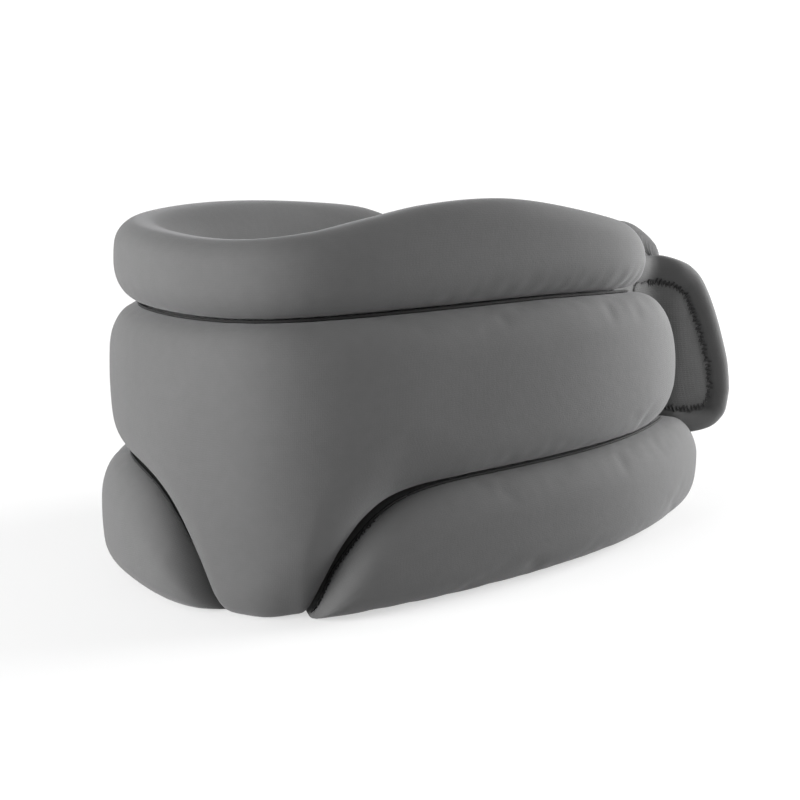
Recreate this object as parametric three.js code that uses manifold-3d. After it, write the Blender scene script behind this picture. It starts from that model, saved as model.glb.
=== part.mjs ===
// Soft cervical collar, closed as it is worn: three padded tiers round the neck, a breastbone tab, a thin
// band across the back and a hook-and-loop closing tongue. Millimetres, +Z up. The chin side faces -Y and
// the wearer's left is +X. The origin is the bottom centre of the bounding box.
//
// Everything follows one plan curve. A place on the collar is a distance along that curve from the middle of
// the chin side, growing towards the wearer's left, with an offset outwards from the curve and a height.

import * as THREE from 'three';
import Module from 'manifold-3d';

// ---------------------------------------------------------------- driving dimensions

// Corners of the closed cubic B-spline that the outer face of the middle tier follows, seen from above.
const PLAN_CORNERS = [
  [18, -114], [39, -83], [71, -4], [71, 54], [62, 113], [-2, 130], [-65, 49], [-78, -43], [-48, -97],
];
const PLAN_SHIFT = [0.7, 4.6];          // moves the bounding box's centre to the origin

const WALL = 22;                      // tier thickness, outer face to base
const COVER = 1.6;                    // cover fabric
const LINING = 1.5;                   // base panel and lining together
const GAP = 0.35;                     // clearance between neighbouring pieces
const SEAM_GAP = 1.0;                 // clearance in the flared seam between the middle and lower tiers
const BAND = 3.2;                     // back band core
const LOOP = 1.0;                     // loop face on the band
const HOOK = 1.0;                     // hook patch on the tongue

const LOWER_SEAM = 31.6;              // height of the seam over the lower roll on the wearer's left
const LOWER_SEAM_RIGHT = 33.6;        // and on the right, where the roll is a little fatter
const RIGHT_ROLL_EXTRA = 2.2;         // how much further the right roll stands out
const TAB_CENTRE = 10;                // where the breastbone tab's middle is, along the plan
const TAB_HALF = 14;                  // half width of the tab at the bottom edge
const TAB_FLARE = 15;                 // how quickly the tab widens into the middle tier
const TAB_CURVE = 1.3;                // how late the widening starts
const ROLL_START = 3.5;               // where a lower roll begins beside the tab
const ROLL_POINT = 6;                 // length of the roll's pointed front end, which holds no foam
const FLEX_AT = 100;                  // where the wings flex, along the plan, both sides of the chin

// Height along the plan of the seam between the upper and middle tiers.
const UPPER_SEAM = [[-48, 76.3], [-10, 76.5], [22, 77.6], [60, 78.3], [105, 78.7], [131, 77.7], [158, 76.2]];

// Height of the top rim along the plan: low at the chin, high under the jaw, lower to the back.
const RIM = [
  [-222, 95], [-187, 99.6], [-139, 101.9], [-88, 100.7], [-40, 98.2], [-5, 97], [26, 98.9],
  [45, 102], [64, 105], [86, 106], [105, 104.4], [140, 98.7], [160, 95],
];

// Each tier: where it starts and ends along the plan and how far its face stands out from the plan curve. At
// a free end its top edge comes down over one rounded length and its bottom edge up over another, to a tip
// that is `drop` of the way down.
const UPPER = {
  from: -222,
  to: 159,
  bulge: -2.2,
  drop: 0.56,
  topEnd: { round: 18, blunt: 1.7 },
  lowEnd: { round: 8, blunt: 3 },
};
const MIDDLE = {
  from: -222,
  to: 191,
  bulge: 0,
  drop: 0.73,
  topEnd: { round: 40, blunt: 1.5 },
  lowEnd: { round: 28, blunt: 2.3 },
};
const LOWER = {
  from: -222,
  to: 216,
  bulge: 1.4,
  drop: 0.5,
  topEnd: { round: 25, blunt: 2.1 },
  lowEnd: { round: 25, blunt: 2.1 },
};

const CORNER_DEPTH = 7.5;             // how far the edges of a tier round back from its face
const CORNER_HEIGHT = 11;             // how far they round up or down
const RIM_CORNER = 6;                 // the tighter rounding from the face up to the rim's crest
const RIM_DROP = 13;                  // how far the rim then falls away towards the neck
const RIM_SHARE = 0.63;               // and the most of the upper tier's height that this may take
const RIM_FLAT = 0.5;                 // level strip along the crest
const CROWN = 1.2;                    // how much a tier swells between its edges
const CORNER_STEPS = 2;               // facets in each rounded edge
const CORNER_SHARE = 0.42;            // most of a section's height that one rounded edge may take
const DEPTH_SHARE = 0.45;             // and most of its thickness
const PLUMP_HALF = 12;                // half height at which a tier has its full thickness
const THIN_SHARE = 0.45;              // how thick a tier's closed end still is, as a share of that
const END_FULLEST = 0.97;             // how far along its rounding a free end is cut off flat

// The wearer's left end: the base panel runs on straight past the tiers, while the plan curves away.
const STRAIGHT_FROM = 150;
const STRAIGHT_TO = 213;
const STRAIGHT_OUT = 8;
const FLANGE_END = 216;
const FLANGE_TOP = [[130, 92], [165, 95.5], [186, 94.8], [203, 89.5], [216, 83]];
const FLANGE_LOW = [[192, 3], [206, 12], [216, 28]];
const FLANGE_STATIONS = [150, 165, 197, 209];
const LINING_LOW = 3;
const LINING_DROP = 15;               // how far the lining stays below the rim

// Room behind the middle tier's end for the tongue's root.
const ROOT_ROOM = 6.6;
const ROOT_ROOM_FROM = 148;
const ROOT_ROOM_TO = 160;

// Tongue, in plan: sewn in behind the middle tier, hinged just past the tier's end, flared outwards.
const TONGUE_HINGE = [54, 61.5];
const TONGUE_HEADING = THREE.MathUtils.degToRad(53);      // angle of the free tongue from +X
const TONGUE_LENGTH = 33.5;
const ROOT_START = [51.6, 30];
const ROOT_LOW = 36;
const ROOT_TOP = 84;
const ROOT_THICK = 4;
const FOLD_BEFORE = 0.6;              // the fold line's clearance before and beyond the hinge
const FOLD_BEYOND = 2.6;
const TONGUE_THICK = 8;
const TONGUE_SKIN = 1.2;
const TONGUE_TOP = [[0, 84], [5.5, 83.8], [14, 81.2], [18.8, 77.7], [22.2, 73], [30, 54], [33.5, 39.5]];
const TONGUE_LOW = [[0, 36], [6, 35], [12, 31.5], [18, 27], [24, 24.5], [30, 27], [33.5, 36]];
const TONGUE_GROWN = 12;              // distance from the hinge at which the tongue is fully padded
const TONGUE_THIN_FROM = 25;          // and where it begins to thin towards its free end
const TONGUE_THIN_OVER = 9.9;
const TONGUE_THINNEST = 0.85;         // how far along that rounding the free end is cut off flat
const TONGUE_EDGE = 5;                // how far the padding rounds over at the free edges
const TONGUE_EDGE_DEPTH = 0.55;       // share of the thickness that this rounding takes
const TONGUE_EDGE_BEND = 0.3;         // place of the rounding's middle facet edge
const HOOK_MARGIN = 9;

// Back band, from inside the wearer's right wing round the back to inside the left end.
const BAND_FROM = -415;
const BAND_TO = -190;
const BAND_OFFSET = [[-415, -26.2], [-374, -20.5], [-330, -20.5], [-275, -23], [-225, -24.2], [-190, -24.2]];
const BAND_LOW = 32;
const BAND_TOP = 82;
const BAND_ROUND = 12;
const BAND_BLUNT = 0.7;               // share of the band's height that is left at its very end
const BAND_STATIONS = [0.1, 0.3, 0.6];
const LOOP_FROM = -367;
const LOOP_TO = -285;
const LOOP_MARGIN = 5;

const STATION_STEP = 13;              // longest step between cross-sections
const GRID = { from: -444, to: 228 };
const SEAM_STATIONS = [16, 18, 21, 24, 28, 33, 39, 47];   // distances from the tab's middle
const END_SHARES = [0.08, 0.25, 0.5, 0.75];               // places along a rounded end
const CURVE_DIVISIONS = 1200;

// ---------------------------------------------------------------- plan curve and profiles

class PlanCurve extends THREE.Curve {
  getPoint(t, target = new THREE.Vector2()) {
    const count = PLAN_CORNERS.length;
    const index = Math.floor(t * count);
    const u = t * count - index;
    const weights = [(1 - u) ** 3, 3 * u ** 3 - 6 * u ** 2 + 4, -3 * u ** 3 + 3 * u ** 2 + 3 * u + 1, u ** 3];
    target.set(...PLAN_SHIFT);
    weights.forEach((weight, k) => {
      const corner = PLAN_CORNERS[(index + k - 1 + count) % count];
      target.x += (weight / 6) * corner[0];
      target.y += (weight / 6) * corner[1];
    });
    return target;
  }
}

const plan = new PlanCurve();
plan.arcLengthDivisions = CURVE_DIVISIONS;
const PLAN_LENGTH = plan.getLength();

// Distance from the curve's own start to its front-most point, the middle of the chin side.
function distanceToChin() {
  const points = plan.getSpacedPoints(CURVE_DIVISIONS);
  let front = 0;
  points.forEach((point, index) => {
    if (point.y < points[front].y) front = index;
  });
  return (front / CURVE_DIVISIONS) * PLAN_LENGTH;
}

const CHIN = distanceToChin();

// The point of the plan at distance s from the chin, and the direction outwards there.
function placeOnPlan(s) {
  const u = THREE.MathUtils.euclideanModulo((s + CHIN) / PLAN_LENGTH, 1);
  const tangent = plan.getTangentAt(u);
  return { point: plan.getPointAt(u), outward: new THREE.Vector2(tangent.y, -tangent.x) };
}

// A smooth curve through a few [distance, value] stations, level beyond the first and the last.
function through(stations, s) {
  const last = stations.length - 1;
  if (s <= stations[0][0]) return stations[0][1];
  if (s >= stations[last][0]) return stations[last][1];
  const k = stations.findIndex((station) => station[0] > s) - 1;
  const slope = (i) => {
    const before = stations[Math.max(i - 1, 0)];
    const after = stations[Math.min(i + 1, last)];
    return (after[1] - before[1]) / (after[0] - before[0]);
  };
  const span = stations[k + 1][0] - stations[k][0];
  const u = (s - stations[k][0]) / span;
  const rise = stations[k + 1][1] - stations[k][1];
  const bend = (slope(k) * span - rise) * (1 - u) - (slope(k + 1) * span - rise) * u;
  return stations[k][1] + rise * u + u * (1 - u) * bend;
}

const rimHeight = (s) => through(RIM, s);
const upperSeam = (s) => through(UPPER_SEAM, s);

// The seam under the middle tier: level, and swept down on both sides of the tab.
function lowerSeam(s) {
  const beyond = Math.max(Math.abs(s - TAB_CENTRE) - TAB_HALF, 0);
  const level = s < TAB_CENTRE ? LOWER_SEAM_RIGHT : LOWER_SEAM;
  return level * (1 - Math.exp(-((beyond / TAB_FLARE) ** TAB_CURVE)));
}

// Offset of the base that the tiers are sewn to.
function baseOffset(s) {
  const beyond = THREE.MathUtils.clamp((s - STRAIGHT_FROM) / (STRAIGHT_TO - STRAIGHT_FROM), 0, 1);
  return -WALL + STRAIGHT_OUT * beyond ** 2;
}

const rootRoom = (s) => ROOT_ROOM * THREE.MathUtils.smoothstep(s, ROOT_ROOM_FROM, ROOT_ROOM_TO);

// ---------------------------------------------------------------- tiers

UPPER.low = (s) => upperSeam(s) + GAP / 2;
UPPER.high = rimHeight;
UPPER.inner = baseOffset;
UPPER.rim = true;
MIDDLE.low = (s) => (lowerSeam(s) > 0 ? lowerSeam(s) + SEAM_GAP / 2 : 0);
MIDDLE.high = (s) => upperSeam(s) - GAP / 2;
MIDDLE.inner = (s) => baseOffset(s) + rootRoom(s);
LOWER.low = () => 0;
LOWER.high = (s) => lowerSeam(s) - SEAM_GAP / 2;
LOWER.inner = baseOffset;

// The lower tier is two rolls, one on each side of the tab, whose front ends run out under the tab's seam.
const LOWER_LEFT = { ...LOWER, from: TAB_CENTRE + TAB_HALF + ROLL_START, tabEnd: 'from' };
const LOWER_RIGHT = {
  ...LOWER,
  to: TAB_CENTRE - TAB_HALF - ROLL_START,
  tabEnd: 'to',
  bulge: LOWER.bulge + RIGHT_ROLL_EXTRA,
};

// How full a tier is at s: 1 along its length, falling in a rounded curve towards its free ends.
function fullness(tier, s, { round, blunt }) {
  const fromStart = tier.tabEnd === 'from' ? round : s - tier.from;
  const toEnd = tier.tabEnd === 'to' ? round : tier.to - s;
  const u = THREE.MathUtils.clamp(1 - Math.min(fromStart, toEnd) / round, 0, END_FULLEST);
  return (1 - u ** blunt) ** (1 / blunt);
}

// A rounded edge: points along a quarter ellipse from [x0, z0], turning from level to upright or back.
function roundedEdge(x0, z0, depth, height, rising) {
  const points = [];
  for (let k = 0; k <= CORNER_STEPS; k++) {
    const angle = (k / CORNER_STEPS) * (Math.PI / 2);
    const dx = depth * (rising ? Math.sin(angle) : Math.cos(angle));
    const dz = height * (rising ? 1 - Math.cos(angle) : Math.sin(angle));
    points.push([x0 + dx, z0 + dz]);
  }
  return points;
}

// Cross-section of a tier at s, drawn inset from the cover's outside, as [offset, height] points that run
// from the base under the tier, round its face and over its top back to the base.
function tierSection(tier, s, inset, innerExtra) {
  const full = fullness(tier, s, tier.lowEnd);
  const drop = tier.drop * (1 - fullness(tier, s, tier.topEnd));
  const rise = (1 - tier.drop) * (1 - full);
  const low = THREE.MathUtils.lerp(tier.low(s), tier.high(s), rise) + inset;
  const high = THREE.MathUtils.lerp(tier.high(s), tier.low(s), drop) - inset;
  const base = tier.inner(s);
  const plump = Math.min(1, ((high - low) / 2 + inset) / PLUMP_HALF);
  const share = THREE.MathUtils.lerp(THIN_SHARE, 1, Math.sqrt(plump * (2 - plump)) * full);
  const thickness = (tier.bulge - base) * share;
  const face = base + thickness - inset;
  const cornerHeight = Math.min(CORNER_HEIGHT - inset / 2, (high - low) * CORNER_SHARE);
  const cornerDepth = Math.min(CORNER_DEPTH - inset / 2, (face - base) * DEPTH_SHARE);
  const topHeight = tier.rim ? Math.min(RIM_CORNER - inset / 2, cornerHeight) : cornerHeight;
  const topDepth = tier.rim ? Math.min(RIM_CORNER - inset / 2, cornerDepth) : cornerDepth;
  const points = [[base - innerExtra, low]];
  points.push(...roundedEdge(face - cornerDepth, low, cornerDepth, cornerHeight, true));
  points.push([face + CROWN * full, (low + high) / 2]);
  points.push(...roundedEdge(face - topDepth, high - topHeight, topDepth, topHeight, false));
  if (tier.rim) {
    const rimDepth = face - topDepth - base - RIM_FLAT;
    const rimDrop = Math.min(RIM_DROP, (high - low + 2 * inset) * RIM_SHARE);
    points.push(...roundedEdge(base + rimDepth, high, -rimDepth, -rimDrop, true));
    if (innerExtra > 0) points.push([base - innerExtra, high - rimDrop]);
  } else {
    points.push([base - innerExtra, high]);
  }
  return points;
}

// Where the cross-sections stand: an even grid over the whole collar, closer where the tab's seam sweeps
// down and where a tier's end is rounded.
function stationsBetween(from, to, extra = []) {
  const stations = [from, to, ROOT_ROOM_FROM, ROOT_ROOM_TO, ...extra];
  for (let s = GRID.from; s <= GRID.to; s += STATION_STEP) stations.push(s);
  for (const beyond of SEAM_STATIONS) stations.push(TAB_CENTRE - beyond, TAB_CENTRE + beyond);
  const inside = stations.filter((s) => s >= from && s <= to).sort((a, b) => a - b);
  return inside.filter((s, k) => k === 0 || s - inside[k - 1] > 1e-6);
}

function endStations(tier) {
  const steps = END_SHARES.map((share) => tier.topEnd.round * share);
  const start = tier.tabEnd === 'from' ? [] : steps.map((step) => tier.from + step);
  const end = tier.tabEnd === 'to' ? [] : steps.map((step) => tier.to - step);
  return [...start, ...end];
}

// ---------------------------------------------------------------- solids

// A solid through a row of cross-sections. place(s) gives the plan point and the outward direction.
function loft(stations, sectionAt, place) {
  const positions = [];
  const faces = [];
  const rings = stations.map((s) => sectionAt(s));
  const size = rings[0].length;
  rings.forEach((ring, i) => {
    const { point, outward } = place(stations[i]);
    for (const [offset, height] of ring) {
      positions.push(point.x + offset * outward.x, point.y + offset * outward.y, height);
    }
  });
  for (let i = 0; i + 1 < rings.length; i++) {
    for (let j = 0; j < size; j++) {
      const a = i * size + j;
      const b = i * size + ((j + 1) % size);
      faces.push(a, a + size, b + size, a, b + size, b);
    }
  }
  addCap(faces, rings[0], 0, false);
  addCap(faces, rings[rings.length - 1], (rings.length - 1) * size, true);
  const geometry = new THREE.BufferGeometry();
  geometry.setAttribute('position', new THREE.Float32BufferAttribute(positions, 3));
  geometry.setIndex(faces);
  return geometry;
}

function addCap(faces, ring, first, reversed) {
  const contour = ring.map(([offset, height]) => new THREE.Vector2(offset, height));
  for (const corners of THREE.ShapeUtils.triangulateShape(contour, [])) {
    const anticlockwise = THREE.ShapeUtils.area(corners.map((k) => contour[k])) > 0;
    const ordered = anticlockwise === reversed ? [corners[0], corners[2], corners[1]] : corners;
    faces.push(...ordered.map((k) => first + k));
  }
}

const wasm = await Module();
wasm.setup();

function toSolid(geometry) {
  const vertProperties = new Float32Array(geometry.attributes.position.array);
  const triVerts = new Uint32Array(geometry.index.array);
  return new wasm.Manifold(new wasm.Mesh({ numProp: 3, vertProperties, triVerts }));
}

function toGeometry(solid) {
  const mesh = solid.getMesh();
  const geometry = new THREE.BufferGeometry();
  geometry.setAttribute('position', new THREE.BufferAttribute(new Float32Array(mesh.vertProperties), 3));
  geometry.setIndex(Array.from(mesh.triVerts));
  return geometry;
}

// How much of a closed end is cover: just the fabric, or the gathered point of a roll beside the tab.
const closedEnd = (tier, side) => (tier.tabEnd === side ? ROLL_POINT : COVER);

// A tier's cover: the outer form with the foam's room taken out, open towards the lining. Where the tier
// carries on past a flex line the room runs out through that end.
function tierCover(tier, from, to) {
  const outerStations = stationsBetween(from, to, endStations(tier));
  const outer = loft(outerStations, (s) => tierSection(tier, s, 0, 0), placeOnPlan);
  const roomFrom = from === tier.from ? from + closedEnd(tier, 'from') : from - 1;
  const roomTo = to === tier.to ? to - closedEnd(tier, 'to') : to + 1;
  const roomStations = stationsBetween(roomFrom, roomTo, [from, to, ...endStations(tier)]);
  const room = loft(roomStations, (s) => tierSection(tier, s, COVER, 2), placeOnPlan);
  return toGeometry(toSolid(outer).subtract(toSolid(room)));
}

function tierFoam(tier, from, to) {
  const foamFrom = from === tier.from ? from + closedEnd(tier, 'from') + GAP : from;
  const foamTo = to === tier.to ? to - closedEnd(tier, 'to') - GAP : to;
  const section = (s) => tierSection(tier, s, COVER + GAP, 0);
  return loft(stationsBetween(foamFrom, foamTo, endStations(tier)), section, placeOnPlan);
}

// A strip of even thickness that follows the plan, from its outer offset inwards.
function strip(from, to, outerAt, thickness, lowAt, highAt, extra = []) {
  const section = (s) => {
    const outer = outerAt(s);
    const low = lowAt(s);
    const high = highAt(s);
    return [[outer - thickness, low], [outer, low], [outer, high], [outer - thickness, high]];
  };
  return loft(stationsBetween(from, to, extra), section, placeOnPlan);
}

// ---------------------------------------------------------------- materials

const coverFabric = () => new THREE.MeshStandardMaterial({ color: 0x66666a, roughness: 0.9, metalness: 0 });
const liningFabric = () => new THREE.MeshStandardMaterial({ color: 0x5c5c60, roughness: 0.95, metalness: 0 });
const foamMaterial = () => new THREE.MeshStandardMaterial({ color: 0xd9d4c4, roughness: 1, metalness: 0 });
const loopMaterial = () => new THREE.MeshStandardMaterial({ color: 0x4a4a4e, roughness: 1, metalness: 0 });
const hookMaterial = () => new THREE.MeshStandardMaterial({ color: 0x2c2c2f, roughness: 0.7, metalness: 0 });

const group = new THREE.Group();

function addPiece(name, geometry, material) {
  const mesh = new THREE.Mesh(geometry, material);
  mesh.name = name;
  group.add(mesh);
}

// ---------------------------------------------------------------- tiers and their foam

const HALF_GAP = GAP / 2;
const FRONT = [-FLEX_AT + HALF_GAP, FLEX_AT - HALF_GAP];

function addTier(label, tier, parts) {
  for (const [part, from, to] of parts) {
    addPiece(`${label}_cover_${part}`, tierCover(tier, from, to), coverFabric());
    addPiece(`${label}_foam_${part}`, tierFoam(tier, from, to), foamMaterial());
  }
}

function wingParts(tier) {
  return [
    ['front', ...FRONT],
    ['left', FLEX_AT + HALF_GAP, tier.to],
    ['right', tier.from, -FLEX_AT - HALF_GAP],
  ];
}

addTier('upper', UPPER, wingParts(UPPER));
addTier('middle', MIDDLE, wingParts(MIDDLE));
addTier('lower_left', LOWER_LEFT, [
  ['front', LOWER_LEFT.from, FRONT[1]],
  ['wing', FLEX_AT + HALF_GAP, LOWER_LEFT.to],
]);
addTier('lower_right', LOWER_RIGHT, [
  ['front', FRONT[0], LOWER_RIGHT.to],
  ['wing', LOWER_RIGHT.from, -FLEX_AT - HALF_GAP],
]);

// ---------------------------------------------------------------- lining

const liningOuter = (s) => baseOffset(s) - GAP;
const liningHigh = (s) => rimHeight(s) - LINING_DROP;
const leftHigh = (s) => {
  const ends = THREE.MathUtils.smoothstep(s, FLANGE_TOP[0][0], FLANGE_TOP[1][0]);
  return THREE.MathUtils.lerp(liningHigh(s), through(FLANGE_TOP, s), ends);
};
const leftLow = (s) => (s < FLANGE_LOW[0][0] ? LINING_LOW : through(FLANGE_LOW, s));
const plainLow = () => LINING_LOW;

addPiece('lining_front', strip(...FRONT, liningOuter, LINING, plainLow, liningHigh), liningFabric());
addPiece(
  'lining_left',
  strip(FLEX_AT + HALF_GAP, FLANGE_END, liningOuter, LINING, leftLow, leftHigh, FLANGE_STATIONS),
  liningFabric(),
);
addPiece(
  'lining_right',
  strip(UPPER.from, -FLEX_AT - HALF_GAP, liningOuter, LINING, plainLow, liningHigh),
  liningFabric(),
);

// ---------------------------------------------------------------- back band

const bandMiddle = (BAND_LOW + BAND_TOP) / 2;

// Half height of the band at s, rounded at its free end.
function bandHalf(s) {
  const u = THREE.MathUtils.clamp(1 - (s - BAND_FROM) / BAND_ROUND, 0, 1);
  const share = THREE.MathUtils.lerp(BAND_BLUNT, 1, Math.sqrt(1 - u * u));
  return ((BAND_TOP - BAND_LOW) / 2) * share;
}

const bandOuter = (s) => through(BAND_OFFSET, s);
const bandLow = (s) => bandMiddle - bandHalf(s);
const bandHigh = (s) => bandMiddle + bandHalf(s);
const bandStations = BAND_STATIONS.map((share) => BAND_FROM + BAND_ROUND * share);
const bandGeometry = strip(BAND_FROM, BAND_TO, bandOuter, BAND, bandLow, bandHigh, bandStations);
addPiece('back_band', bandGeometry, liningFabric());

const loopOuter = (s) => bandOuter(s) + GAP + LOOP;
const loopLow = () => BAND_LOW + LOOP_MARGIN;
const loopHigh = () => BAND_TOP - LOOP_MARGIN;
addPiece('loop_face', strip(LOOP_FROM, LOOP_TO, loopOuter, LOOP, loopLow, loopHigh), loopMaterial());

// ---------------------------------------------------------------- closing tongue

function placeAlong(start, heading) {
  const along = new THREE.Vector2(Math.cos(heading), Math.sin(heading));
  const outward = new THREE.Vector2(along.y, -along.x);
  const origin = new THREE.Vector2(start[0] + PLAN_SHIFT[0], start[1] + PLAN_SHIFT[1]);
  return (t) => ({ point: origin.clone().addScaledVector(along, t), outward });
}

const rootRun = new THREE.Vector2(TONGUE_HINGE[0] - ROOT_START[0], TONGUE_HINGE[1] - ROOT_START[1]);
const rootSection = () => [
  [-ROOT_THICK / 2, ROOT_LOW],
  [ROOT_THICK / 2, ROOT_LOW],
  [ROOT_THICK / 2, ROOT_TOP],
  [-ROOT_THICK / 2, ROOT_TOP],
];
const rootLength = rootRun.length() - FOLD_BEFORE;
const placeRoot = placeAlong(ROOT_START, rootRun.angle());
const rootGeometry = loft([0, rootLength / 2, rootLength], rootSection, placeRoot);
addPiece('tongue_root', rootGeometry, coverFabric());

// The tongue's cross-section at distance t from its hinge line: thin at the hinge, puffed beyond it, rounded
// over at the free edges. The inset draws the foam's room.
function tongueSection(t, inset, innerExtra) {
  const low = through(TONGUE_LOW, t) + inset;
  const high = through(TONGUE_TOP, t) - inset;
  const grow = THREE.MathUtils.smoothstep(t, FOLD_BEYOND, TONGUE_GROWN);
  const towardsEnd = THREE.MathUtils.clamp((t - TONGUE_THIN_FROM) / TONGUE_THIN_OVER, 0, TONGUE_THINNEST);
  const thin = Math.sqrt(1 - towardsEnd ** 2);
  const thickness = THREE.MathUtils.lerp(ROOT_THICK, TONGUE_THICK, grow) * thin;
  const outer = thickness / 2 - inset;
  const inner = -thickness / 2;
  const edge = Math.min(TONGUE_EDGE, (high - low) / 4);
  const back = (outer - inner) * TONGUE_EDGE_DEPTH;
  const bend = TONGUE_EDGE_BEND;
  return [
    [inner - innerExtra, low],
    [outer - back, low],
    [outer - back * bend, low + edge * bend],
    [outer, low + edge],
    [outer, high - edge],
    [outer - back * bend, high - edge * bend],
    [outer - back, high],
    [inner - innerExtra, high],
  ];
}

const placeTongue = placeAlong(TONGUE_HINGE, TONGUE_HEADING);
const tongueMiddle = [5, 8, 12, 18, 23, 26, 29];
const tongueStations = [FOLD_BEYOND, ...tongueMiddle, 31.5, TONGUE_LENGTH];
const foamStations = [FOLD_BEYOND + TONGUE_SKIN, ...tongueMiddle, TONGUE_LENGTH - 2 * TONGUE_SKIN];
const tongueOuter = loft(tongueStations, (t) => tongueSection(t, 0, 0), placeTongue);
const tongueRoom = loft(foamStations, (t) => tongueSection(t, TONGUE_SKIN, 2), placeTongue);
const tongueFoamSection = (t) => tongueSection(t, TONGUE_SKIN + GAP, 0);
const tongueFoamStations = foamStations.map((t, k) => {
  if (k === 0) return t + GAP;
  return k === foamStations.length - 1 ? t - GAP : t;
});
addPiece('tongue_cover', toGeometry(toSolid(tongueOuter).subtract(toSolid(tongueRoom))), coverFabric());
addPiece('tongue_foam', loft(tongueFoamStations, tongueFoamSection, placeTongue), foamMaterial());

// A flat layer on the tongue's neck side: the backing, and the hook patch on the backing.
function tongueLayer(depth, thickness, margin) {
  const section = (t) => {
    const inner = tongueSection(t, 0, 0)[0][0] - depth;
    const low = through(TONGUE_LOW, t) + margin;
    const high = through(TONGUE_TOP, t) - margin;
    return [[inner - thickness, low], [inner, low], [inner, high], [inner - thickness, high]];
  };
  const stations = tongueStations.filter((t) => t > margin / 2 && t < TONGUE_LENGTH - margin);
  return loft(stations, section, placeTongue);
}

addPiece('tongue_backing', tongueLayer(GAP, TONGUE_SKIN, 1), liningFabric());
addPiece('hook_patch', tongueLayer(2 * GAP + TONGUE_SKIN, HOOK, HOOK_MARGIN), hookMaterial());

export default group;
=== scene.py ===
"""Looks for the soft neck collar: three padded fabric tiers round the neck, lining, back band and tongue.

The scene is in metres in the part's own frame: +Z up, chin side towards -Y, wearer's left towards +X. Sizes are
written in millimetres and become metres in place(), place_tongue() or by MM.
A place on the collar is a distance s along one plan curve from the middle of the chin side, growing towards
the wearer's left, with an offset outwards from that curve and a height.
"""

import math

import bmesh
import bpy
import numpy as np
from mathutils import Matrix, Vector


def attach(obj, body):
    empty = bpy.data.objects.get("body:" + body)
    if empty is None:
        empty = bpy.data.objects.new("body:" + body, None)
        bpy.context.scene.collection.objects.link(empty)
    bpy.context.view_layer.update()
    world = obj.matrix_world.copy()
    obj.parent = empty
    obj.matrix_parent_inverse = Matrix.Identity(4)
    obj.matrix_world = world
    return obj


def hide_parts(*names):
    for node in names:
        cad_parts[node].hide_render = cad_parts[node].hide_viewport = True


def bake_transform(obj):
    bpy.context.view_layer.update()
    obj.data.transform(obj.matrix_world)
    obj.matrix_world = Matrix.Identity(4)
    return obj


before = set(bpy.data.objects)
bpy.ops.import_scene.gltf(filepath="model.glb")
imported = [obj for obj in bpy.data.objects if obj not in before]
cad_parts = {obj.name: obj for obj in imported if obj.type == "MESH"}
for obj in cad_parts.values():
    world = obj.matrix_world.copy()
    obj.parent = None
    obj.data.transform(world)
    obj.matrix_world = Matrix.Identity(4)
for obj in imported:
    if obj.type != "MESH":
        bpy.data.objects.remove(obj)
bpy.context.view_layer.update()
MM = 0.001

# ---- sizes in millimetres
# Most repeat the part's. The upper seam, the clearances, the tongue's low edge and the ends of the upper
# and middle cushions were fitted again here, against the photograph.

PLAN_CORNERS = np.array(
    [[18, -114], [39, -83], [71, -4], [71, 54], [62, 113], [-2, 130], [-65, 49], [-78, -43], [-48, -97]],
    float,
)
PLAN_SHIFT = np.array([0.7, 4.6])
WALL = 22.0
LINING = 1.5
GAP = 0.35
TOUCH = 0.34  # from a seam to the cushion on each side of it
UPPER_SEAM = [(-48, 76.1), (-10, 76.2), (22, 77.1), (60, 77.6), (105, 77.9), (131, 77.2), (158, 76.1)]
LOWER_SEAM = 31.6
LOWER_SEAM_RIGHT = 33.6
TAB_CENTRE = 10.0
TAB_HALF = 14.0
TAB_FLARE = 15.0
TAB_CURVE = 1.3
FLEX_AT = 100.0
RIM = [
    (-222, 95), (-187, 99.6), (-139, 101.9), (-88, 100.7), (-40, 98.2), (-5, 97), (26, 98.9),
    (45, 102), (64, 105), (86, 106), (105, 104.4), (140, 98.7), (160, 95),
]
CORNER_DEPTH = 7.5
CORNER_HEIGHT = 11.0
CORNER_LIMIT = 0.42  # the most of a cushion's height that one rounded edge takes up
RIM_CORNER = 6.0
RIM_DROP = 13.0
RIM_SHARE = 0.63
RIM_FLAT = 0.5
CROWN = 1.2
FLANGE_END = 216.0
FLANGE_TOP = [(130, 92), (165, 95.5), (186, 94.8), (203, 89.5), (216, 83)]
FLANGE_LOW = [(192, 3), (206, 12), (216, 28)]
LINING_LOW = 3.0
LINING_DROP = 15.0
BACK_END = -222.0
TONGUE_HINGE = np.array([54, 61.5]) + PLAN_SHIFT
TONGUE_HEADING = math.radians(53)
ROOT_START = np.array([51.6, 30]) + PLAN_SHIFT
ROOT_THICK = 4.0
TONGUE_THICK = 8.0
TONGUE_LENGTH = 33.5
TONGUE_TOP = [
    (0, 84), (5.5, 83.8), (14, 81.2), (18.8, 77.7), (22.2, 73), (26.3, 64.5), (30.1, 54), (32.6, 45),
    (33.5, 37.5),
]
TONGUE_LOW = [
    (0, 25), (6, 24), (12, 22.9), (18, 22.7), (23, 23.2), (27, 24.4), (30.2, 26.8), (32.4, 30.2), (33.5, 37),
]
BAND_FROM = -415.0
BAND_TO = -190.0
BAND_OFFSET = [(-415, -26.2), (-374, -20.5), (-330, -20.5), (-275, -23), (-225, -24.2), (-190, -24.2)]
BAND = 3.2
BAND_LOW = 32.0
BAND_TOP = 82.0
BAND_ROUND = 12.0
LOOP_FROM = -367.0
LOOP_TO = -285.0
LOOP = 1.0
LOOP_MARGIN = 5.0
CORNER_ROWS = 8  # points round each rounded edge of a cushion
PLUMP_HALF = 12.0  # half height at which a cushion has its full thickness
FOOT_HEIGHT = 8.0  # the tighter rounding where the rolls stand on the floor
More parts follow.
